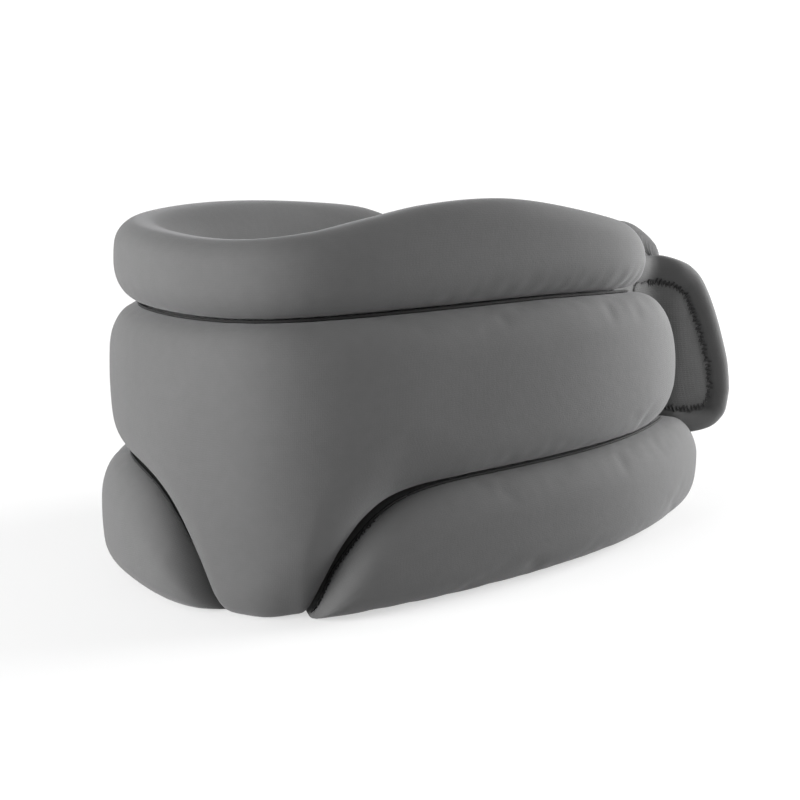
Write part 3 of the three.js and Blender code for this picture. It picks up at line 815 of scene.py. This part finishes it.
def sheet_ring(low, high, outer, thick, rows, quilt):
    """Closed cross-sections of a sheet with rounded edges. quilt(z) is its padding on the neck side."""
    radius = thick / 2
    edge = np.linspace(-math.pi / 2, math.pi / 2, 5)[1:-1]
    levels = [low + radius + (high - low - 2 * radius) * u for u in np.linspace(0, 1, rows)]
    columns = [(outer - radius + radius * np.sin(a), low + radius * (1 - np.cos(a))) for a in edge]
    columns += [(outer + 0 * z, z) for z in levels]
    columns += [(outer - radius + radius * np.sin(a), high - radius * (1 - np.cos(a))) for a in edge[::-1]]
    columns += [(outer - thick - quilt(z), z) for z in levels[::-1]]
    return np.stack([c[0] for c in columns], 1), np.stack([c[1] + 0 * c[0] for c in columns], 1)


QUILT_ROWS = (8.0, LOWER_SEAM, 77.0)
BINDING_WIDTH = 6.5
LINING_ROWS = 22
BAND_ROWS = 14


def lining_quilt(z):
    """The lining pads out between the rows of stitching that hold the tiers."""
    near = np.min(np.abs(np.asarray(z)[..., None] - np.array(QUILT_ROWS)), axis=-1)
    return 0.55 * (smoothstep(near, 0, 7) - 1)


def strip_piece(name, s, low, high, outer, thick, rows, quilt, material):
    offsets, heights = sheet_ring(low, high, outer, thick, rows, quilt)
    obj = closed_tube(name, place(s[:, None], offsets, heights), material, weave(s[:, None], heights))
    subdivide(obj)
    return obj


def make_lining(name, start, end, side, nodes):
    s = np.linspace(start, end, int(abs(end - start) / 4) + 1)
    obj = strip_piece(
        name, s, lining_low(s), lining_high(s), base_offset(s) - GAP, LINING, LINING_ROWS, lining_quilt,
        shade_darkened_lining_fabric,
    )
    follow(obj, side)
    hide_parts(*nodes)


make_lining("lining_sheet_left", SPLIT_AT, FLANGE_END, "left", ["lining_front", "lining_left"])
make_lining("lining_sheet_right", BACK_END, SPLIT_AT, "right", ["lining_front", "lining_right"])


def lining_rows(side, start, end):
    """The rows of quilting stitches that hold the tiers, seen on the neck side of the lining."""
    paths = []
    for row in QUILT_ROWS:
        def on_row(s, lift, row=row):
            inner = base_offset(s) - GAP - LINING - lining_quilt(row + 0 * s)
            return place(s, inner - lift, row + 0 * s)
        paths += running_stitches(on_row, start + 4, end - 8, LINING_PITCH)
    piece = thread_piece("lining_stitches_" + side, paths, THREAD, thread_material)
    follow(piece, side)


lining_rows("left", SPLIT_AT, FLANGE_END)
lining_rows("right", BACK_END, SPLIT_AT)


def binding(name, route, side):
    """A folded tape over the lining's edge, along points of (distance, height, inward s, inward z)."""
    rings = []
    for s, z, in_s, in_z in route:
        angle = np.linspace(0, 2 * math.pi, 12, endpoint=False)
        reach = BINDING_WIDTH / 2 * (1 + np.cos(angle)) - 0.5
        # the tape is fullest at the edge and thins out where it is sewn down
        thick = (LINING / 2 + 0.55) * np.sin(angle) * (1 - 0.18 * (1 + np.cos(angle)) / 2)
        mid = base_offset(s) - GAP - LINING / 2
        rings.append(place(s + in_s * reach, mid + thick, z + in_z * reach))
    piece = closed_tube(name, np.array(rings), shade_darkened_binding_fabric)
    subdivide(piece)
    follow(piece, side)


def edge_route(points):
    """Adds the inward direction to a list of (s, z) points that runs clockwise seen from the neck side."""
    points = np.array(points, float)
    along = unit(np.gradient(points, axis=0))
    return [(s, z, u[1], -u[0]) for (s, z), u in zip(points, along)]


def flange_edge():
    top = np.linspace(128, FLANGE_END - 5, 30)
    upper = [(s, float(lining_high(np.array(s)))) for s in top]
    low = np.linspace(FLANGE_END - 5, 176, 16)
    lower = [(s, float(lining_low(np.array(s)))) for s in low]
    side = [(FLANGE_END, z) for z in np.linspace(upper[-1][1] - 6, lower[0][1] + 6, 16)]
    return upper + side + lower


binding("flange_binding", edge_route(flange_edge()), "left")


# ---- back band with its loop face

def band_outer(s):
    return through(BAND_OFFSET, s)


def band_half(s, margin):
    u = np.clip(1 - (s - BAND_FROM - margin) / BAND_ROUND, 0, 1)
    return ((BAND_TOP - BAND_LOW) / 2 - margin) * (0.55 + 0.45 * np.sqrt(np.maximum(1 - u * u, 0)))


def flat_quilt(z):
    return 0 * z


def make_band():
    rounded = BAND_FROM + BAND_ROUND * (1 - np.cos(np.linspace(0, math.pi / 2, 7)))
    s = np.concatenate([rounded, np.linspace(BAND_FROM + BAND_ROUND, BAND_TO, 60)[1:]])
    middle = (BAND_LOW + BAND_TOP) / 2
    half = band_half(s, 0)
    low, high = middle - half, middle + half
    band = strip_piece("back_band_strap", s, low, high, band_outer(s), BAND, BAND_ROWS, flat_quilt, band_fabric)
    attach(band, "right_wing")
    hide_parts("back_band")
    s = np.linspace(LOOP_FROM, LOOP_TO, 28)
    low = BAND_LOW + LOOP_MARGIN + 0 * s
    high = BAND_TOP - LOOP_MARGIN + 0 * s
    outer = band_outer(s) + GAP + LOOP
    loop = strip_piece("loop_pile_strip", s, low, high, outer, LOOP, BAND_ROWS, flat_quilt, loop_fabric)
    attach(loop, "right_wing")
    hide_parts("loop_face")


make_band()


def band_stitches():
    """Edge stitching along both long edges of the band, on both faces, and round the loop strip."""
    paths = []
    for z in (BAND_LOW + 3, BAND_TOP - 3):
        for face, outwards in ((0.0, 1), (BAND, -1)):
            def on_band(s, lift, z=z, face=face, outwards=outwards):
                return place(s, band_outer(s) - face + outwards * lift, z + 0 * s)
            paths += running_stitches(on_band, BAND_FROM + BAND_ROUND, BAND_TO - 2, BAND_PITCH)
    loop_low, loop_high = BAND_LOW + LOOP_MARGIN + 1.6, BAND_TOP - LOOP_MARGIN - 1.6

    def on_loop(s, z, lift):
        return place(s, band_outer(s) + GAP + LOOP + lift, z)

    for z in (loop_low, loop_high):
        along = lambda s, lift, z=z: on_loop(s, z + 0 * s, lift)
        paths += running_stitches(along, LOOP_FROM + 2, LOOP_TO - 2, LOOP_PITCH)
    for s in (LOOP_FROM + 1.6, LOOP_TO - 1.6):
        across = lambda z, lift, s=s: on_loop(s + 0 * z, z, lift)
        paths += running_stitches(across, loop_low, loop_high, LOOP_PITCH)
    piece = thread_piece("band_stitches", paths, THREAD, thread_material)
    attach(piece, "right_wing")


band_stitches()


# ---- closing tongue

def tongue_path(t):
    """Points and outward directions along the tongue's middle: negative t is the sewn-in root."""
    run = TONGUE_HINGE - ROOT_START
    root_heading = math.atan2(run[1], run[0])
    grid = np.linspace(-40, 40, 1601)
    turn = smoothstep(grid, -4.0, 4.0)
    heading = root_heading + (TONGUE_HEADING - root_heading) * turn
    step = grid[1] - grid[0]
    direction = np.stack([np.cos(heading), np.sin(heading)], 1)
    points = np.cumsum(direction, axis=0) * step
    points += TONGUE_HINGE - points[np.argmin(np.abs(grid))]
    point = np.stack([np.interp(t, grid, points[:, i]) for i in (0, 1)], -1)
    angle = np.interp(t, grid, heading)
    return point, np.stack([np.sin(angle), -np.cos(angle)], -1)


def place_tongue(t, offset, height):
    return set_out(tongue_path(t), offset, height)


def tongue_outline():
    rounded = TONGUE_LENGTH - 6 * np.cos(np.linspace(0, math.pi / 2, 20))
    t = np.concatenate([np.linspace(-35, 26, 60), rounded[1:]])
    top = np.stack([t, through(TONGUE_TOP, t)], 1)
    low = np.stack([t, through(TONGUE_LOW, t)], 1)
    return np.concatenate([top, low[::-1]])


TONGUE_OUTLINE = tongue_outline()


def edge_distance(t, z):
    """Distance from places on the tongue to its free edge."""
    a = TONGUE_OUTLINE[:-1]
    b = TONGUE_OUTLINE[1:]
    p = np.stack([t, z], -1)[..., None, :]
    along = np.clip(((p - a) * (b - a)).sum(-1) / np.maximum(((b - a) ** 2).sum(-1), 1e-9), 0, 1)
    return np.linalg.norm(p - (a + along[..., None] * (b - a)), axis=-1).min(-1)


PATCH_INSET = 9.0  # from the tongue's free edge to the patch that is sewn on it
PATCH_CENTRE = np.array([6.0, 54.0])
PATCH_FROM = -14.0  # where the patch ends on the root's side of the hinge line
RIM_CREST = 4.4  # from the free edge to the top of its padded rim


def tongue_half(t):
    """Half the tongue's thickness: thin at the root, padded beyond the hinge."""
    grow = smoothstep(t, 2, 12)
    return ROOT_THICK / 2 * (1 - grow) + TONGUE_THICK / 2 * grow


def tongue_front(t, z):
    """How far the tongue's outer side stands out: a padded rim, then a groove, then the softer middle."""
    d = edge_distance(t, z)
    half = tongue_half(t)
    up = np.sqrt(np.clip(1 - (1 - np.clip(d / RIM_CREST, 0, 1)) ** 2, 0, 1))
    down = np.sqrt(np.clip(1 - (np.clip((d - RIM_CREST) / (PATCH_INSET - RIM_CREST), 0, 0.97)) ** 2, 0, 1))
    middle = np.clip((d - PATCH_INSET) / 9.0, 0, 1)
    swell = 0.42 * np.sqrt(1 - (1 - middle) ** 2)
    padded = half * np.where(d < RIM_CREST, up, down + swell * (d > PATCH_INSET))
    plain = half * up
    sewn = smoothstep(t, -20, -13)
    return plain * (1 - sewn) + padded * sewn


def make_tongue():
    run = np.linalg.norm(TONGUE_HINGE - ROOT_START)
    t = np.concatenate([
        np.linspace(-run, -6, 9), np.linspace(-4.5, 25, 37),
        TONGUE_LENGTH - 0.02 - 8 * np.cos(np.linspace(0.12, math.pi / 2, 16)),
    ])
    low, high = through(TONGUE_LOW, t), through(TONGUE_TOP, t)
    rows = 61
    u = (1 - np.cos(np.linspace(0, math.pi, rows))) / 2
    u = 0.35 * u + 0.65 * np.linspace(0, 1, rows)
    z = low[:, None] + (high - low)[:, None] * u[None, :]
    tt = np.repeat(t[:, None], rows, 1)
    front = tongue_front(tt, z)
    d = edge_distance(tt, z)
    back = -tongue_half(tt) * np.sqrt(np.clip(1 - (1 - np.clip(d / 2.5, 0, 1)) ** 2, 0, 1))
    offsets, heights, across = round_trip(front, back), round_trip(z, z), round_trip(tt, tt)
    positions = place_tongue(across, offsets, heights)
    tongue = closed_tube("closing_tongue", positions, brightened_tongue_fabric, weave(across, heights))
    subdivide(tongue)
    bend_tongue(tongue)
    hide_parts("tongue_root", "tongue_cover", "tongue_foam")


def bend_tongue(piece):
    """Bakes the piece's placement into its mesh; nothing bends across the hinge line."""
    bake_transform(piece)


def patch_outline(inset, count):
    """Points evenly spaced along the line at a distance inside the tongue's free edge, with its outward
    directions, as (t, z)."""
    angle = np.linspace(0, 2 * math.pi, 240, endpoint=False)
    ray = np.stack([np.cos(angle), np.sin(angle)], 1)
    reach = np.linspace(0, 36, 241)
    places = PATCH_CENTRE + reach[None, :, None] * ray[:, None, :]
    inside = (edge_distance(places[..., 0], places[..., 1]) >= inset) & (places[..., 0] >= PATCH_FROM)
    last = np.argmin(inside, axis=1) - 1
    rim = PATCH_CENTRE + reach[last][:, None] * ray
    rim = np.stack([np.convolve(np.tile(rim[:, i], 3), np.ones(7) / 7, "same")[240:480] for i in (0, 1)], 1)
    closed = np.concatenate([rim, rim[:1]])
    length = run_length(closed)
    at = np.linspace(0, length[-1], count, endpoint=False)
    points = np.stack([np.interp(at, length, closed[:, i]) for i in (0, 1)], 1)
    along = unit(np.roll(points, -1, 0) - np.roll(points, 1, 0))
    return points, np.stack([along[:, 1], -along[:, 0]], 1)


def make_patch():
    """The patch sewn on the tongue's outer side, with an uneven cut edge and zigzag stitching over it."""
    teeth = 96
    points, outward = patch_outline(PATCH_INSET, teeth * 2)
    uneven = np.random.default_rng(5).normal(0, 0.22, len(points))
    zigzag = np.where(np.arange(len(points)) % 2 == 0, 0.62, -0.32)
    edge = points + outward * (zigzag + uneven)[:, None]
    rings = []
    under = [(share, -0.5) for share in (0.1, 0.3, 0.5, 0.7, 0.9)]
    over = [(share, 0.5) for share in (0.97, 0.9, 0.8, 0.7, 0.6, 0.5, 0.4, 0.3, 0.2, 0.1)]
    for share, lift in under + [(1.0, -0.4), (1.0, 0.3)] + over:
        ring = edge if share == 1.0 else PATCH_CENTRE + (points - PATCH_CENTRE) * share
        rings.append((ring[:, 0], tongue_front(ring[:, 0], ring[:, 1]) + lift, ring[:, 1]))
    positions = np.array([place_tongue(*ring) for ring in rings])
    uvs = np.array([np.stack([ring[0], ring[2]], -1) for ring in rings]) * MM
    patch = closed_tube("tongue_patch", positions, brightened_patch_fabric, uvs)
    bend_tongue(patch)
    reach = np.where(np.arange(len(points)) % 2 == 0, 1.0, -1.1) + uneven
    path = points + outward * reach[:, None]
    visible = path[:, 0] > PATCH_FROM + 11
    first = int(np.argmax(visible & ~np.roll(visible, 1)))
    path = np.roll(path, -first, 0)[: int(visible.sum())]
    middles = (path[:-1] + path[1:]) / 2
    full = np.empty((len(path) + len(middles), 2))
    full[::2] = path
    full[1::2] = middles
    lift = np.where(np.arange(len(full)) % 2 == 0, 0.1, 0.42)
    front = tongue_front(full[:, 0], full[:, 1]) + lift + 0.15
    thread = thread_piece("tongue_zigzag", [place_tongue(full[:, 0], front, full[:, 1])], 0.3, patch_thread)
    bend_tongue(thread)


make_tongue()
make_patch()


def tongue_layer(name, from_edge, offset_from, thick, material, nodes):
    """A flat layer sewn to the tongue's neck side, inset from the free edge."""
    t = np.linspace(5.2 + from_edge * 0.4, TONGUE_LENGTH - 1 - from_edge, 14)
    low = through(TONGUE_LOW, t) + from_edge
    high = through(TONGUE_TOP, t) - from_edge
    rows = 12
    z = low[:, None] + (high - low)[:, None] * np.linspace(0, 1, rows)[None, :]
    tt = np.repeat(t[:, None], rows, 1)
    inner = -tongue_half(tt) - offset_from
    offsets = np.concatenate([inner, inner[:, ::-1] - thick], 1)
    heights = np.concatenate([z, z[:, ::-1]], 1)
    across = np.concatenate([tt, tt[:, ::-1]], 1)
    piece = closed_tube(name, place_tongue(across, offsets, heights), material, weave(across, heights))
    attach(piece, "tongue")
    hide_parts(*nodes)


BACKING = 1.0
HOOK_BASE = 0.6
HOOK_MARGIN = 9.0
HOOK_PITCH = 1.5

tongue_layer(
    "tongue_backing_sheet", 1.0, GAP, BACKING, shade_darkened_lining_fabric, ["tongue_backing"],
)
tongue_layer(
    "hook_tape_patch", HOOK_MARGIN, 2 * GAP + BACKING, HOOK_BASE, hook_material, ["hook_patch"],
)


def hooks():
    """The hook tape's field of small bent hooks, leaning alternately up and down."""
    paths = []
    depth = 2 * GAP + BACKING + HOOK_BASE
    for column, t in enumerate(np.arange(HOOK_MARGIN - 1, TONGUE_LENGTH - HOOK_MARGIN - 2, HOOK_PITCH)):
        low = float(through(TONGUE_LOW, t)) + HOOK_MARGIN + 1.2
        high = float(through(TONGUE_TOP, t)) - HOOK_MARGIN - 1.2
        lean = 1 if column % 2 else -1
        for z in np.arange(low, high, HOOK_PITCH):
            heights = z + lean * np.array([0, 0, 0.25, 0.55, 0.6])
            lifts = np.array([-0.2, 0.3, 0.5, 0.45, 0.28])
            across = np.full(5, t)
            paths.append(place_tongue(across, -tongue_half(across) - depth - lifts, heights))
    piece = thread_piece("hook_field", paths, 0.14, hook_material, sides=4)
    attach(piece, "tongue")


hooks()


def tongue_stitches():
    """Stitching round the backing and round the hook tape, on the tongue's neck side."""
    paths = []
    for margin, depth in ((2.6, GAP + BACKING), (HOOK_MARGIN + 0.9, 2 * GAP + BACKING + HOOK_BASE)):
        def along_edge(profile, sign, margin=margin, depth=depth):
            def at(t, lift):
                return place_tongue(t, -tongue_half(t) - depth - lift, through(profile, t) + sign * margin)
            return at
        start, end = 5.0 + margin * 0.4, TONGUE_LENGTH - 2 - margin
        paths += running_stitches(along_edge(TONGUE_TOP, -1), start, end, TONGUE_PITCH)
        paths += running_stitches(along_edge(TONGUE_LOW, 1), start, end, TONGUE_PITCH)
    piece = thread_piece("tongue_stitches", paths, FINE_THREAD, thread_material)
    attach(piece, "tongue")


tongue_stitches()


# ---- studio

def make_stage():
    """A pale round floor that curves up all round into a pale wall."""
    profile = [(0, 0), (STAGE_FLAT, 0)]
    for angle in np.linspace(0, math.pi / 2, 33)[1:]:
        profile.append((STAGE_FLAT + STAGE_CURVE * math.sin(angle), STAGE_CURVE * (1 - math.cos(angle))))
    around = 96
    turn = [2 * math.pi * k / around for k in range(around)]
    vertices = [(0, 0, 0)]
    vertices += [(radius * math.cos(a), radius * math.sin(a), z) for radius, z in profile[1:] for a in turn]
    faces = [(0, 1 + k, 1 + (k + 1) % around) for k in range(around)]
    for first in range(1, 1 + (len(profile) - 2) * around, around):
        for k in range(around):
            m = (k + 1) % around
            faces.append((first + k, first + around + k, first + around + m, first + m))
    material = bpy.data.materials.new("studio_paper")
    material.use_nodes = True
    paper = material.node_tree.nodes["Principled BSDF"]
    paper.inputs["Base Color"].default_value = (0.3, 0.3, 0.3, 1)
    paper.inputs["Roughness"].default_value = 0.9
    paper.inputs["Emission Color"].default_value = (1, 1, 1, 1)
    nodes, links = material.node_tree.nodes, material.node_tree.links
    place_on = nodes.new("ShaderNodeTexCoord")
    behind = nodes.new("ShaderNodeVectorMath")
    behind.operation = "DOT_PRODUCT"
    behind.inputs[1].default_value = (-math.sin(VIEW_AZIMUTH), math.cos(VIEW_AZIMUTH), 0)
    glow = nodes.new("ShaderNodeMapRange")
    for socket, number in zip(MAP_SOCKETS, (*GLOW_SPAN, FLOOR_GLOW, WALL_GLOW)):
        glow.inputs[socket].default_value = number
    links.new(place_on.outputs["Object"], behind.inputs[0])
    links.new(behind.outputs["Value"], glow.inputs["Value"])
    links.new(glow.outputs["Result"], paper.inputs["Emission Strength"])
    floor = mesh_object("studio_floor", vertices, faces, material)


def area_light(name, location, power):
    """A soft box, in metres and watts, that faces the collar."""
    data = bpy.data.lights.new(name, "AREA")
    data.shape = "RECTANGLE"
    data.size, data.size_y = LIGHT_SIZE
    data.energy = power
    light = bpy.data.objects.new(name, data)
    light.location = location
    light.rotation_mode = "QUATERNION"
    light.rotation_quaternion = (CENTRE - location).to_track_quat("-Z", "Y")
    bpy.context.scene.collection.objects.link(light)


FLOOR_GLOW = 0.54
WALL_GLOW = 1.0
GLOW_SPAN = (0.3, 1.8)  # the glow grows between these distances behind the collar, in metres
STAGE_FLAT = 0.5
STAGE_CURVE = 2.5
VIEW_AZIMUTH = math.radians(30)
CAMERA_PLACE = Vector((0.2147, -0.3759, 0.12125))
CAMERA_PITCH = math.atan(260 / 1400)
CENTRE = Vector((0, 0, 0.05))
LIGHT_SIZE = (0.6, 0.5)


def around_view(angle, distance, height):
    """A place at an angle to the left (negative) or right of the camera's own direction from the object."""
    a = VIEW_AZIMUTH + math.radians(angle)
    return Vector((math.sin(a) * distance, -math.cos(a) * distance, height))


make_stage()
for light_name, angle, distance, height, power in (
    ("left_box", -50, 0.936, 0.215, 20.0),
    ("left_edge", -100, 0.936, 0.215, 5.5),
    ("right_edge", 115, 0.936, 0.215, 29.0),
    ("high_box", -40, 0.672, 0.722, 1.2),
):
    area_light(light_name, around_view(angle, distance, height), power)

world = bpy.data.worlds.new("studio_air")
world.use_nodes = True
world.node_tree.nodes["Background"].inputs[0].default_value = (1, 1, 1, 1)
world.node_tree.nodes["Background"].inputs[1].default_value = 0.02
bpy.context.scene.world = world
bpy.context.scene.view_settings.view_transform = "Standard"

camera_data = bpy.data.cameras.new("camera")
camera_data.lens = 63
camera_data.sensor_width = 36
camera = bpy.data.objects.new("camera", camera_data)
camera.location = CAMERA_PLACE
ahead = Vector((
    -math.sin(VIEW_AZIMUTH) * math.cos(CAMERA_PITCH),
    math.cos(VIEW_AZIMUTH) * math.cos(CAMERA_PITCH),
    -math.sin(CAMERA_PITCH),
))
camera.rotation_mode = "QUATERNION"
camera.rotation_quaternion = ahead.to_track_quat("-Z", "Y")
bpy.context.scene.collection.objects.link(camera)
bpy.context.scene.camera = camera
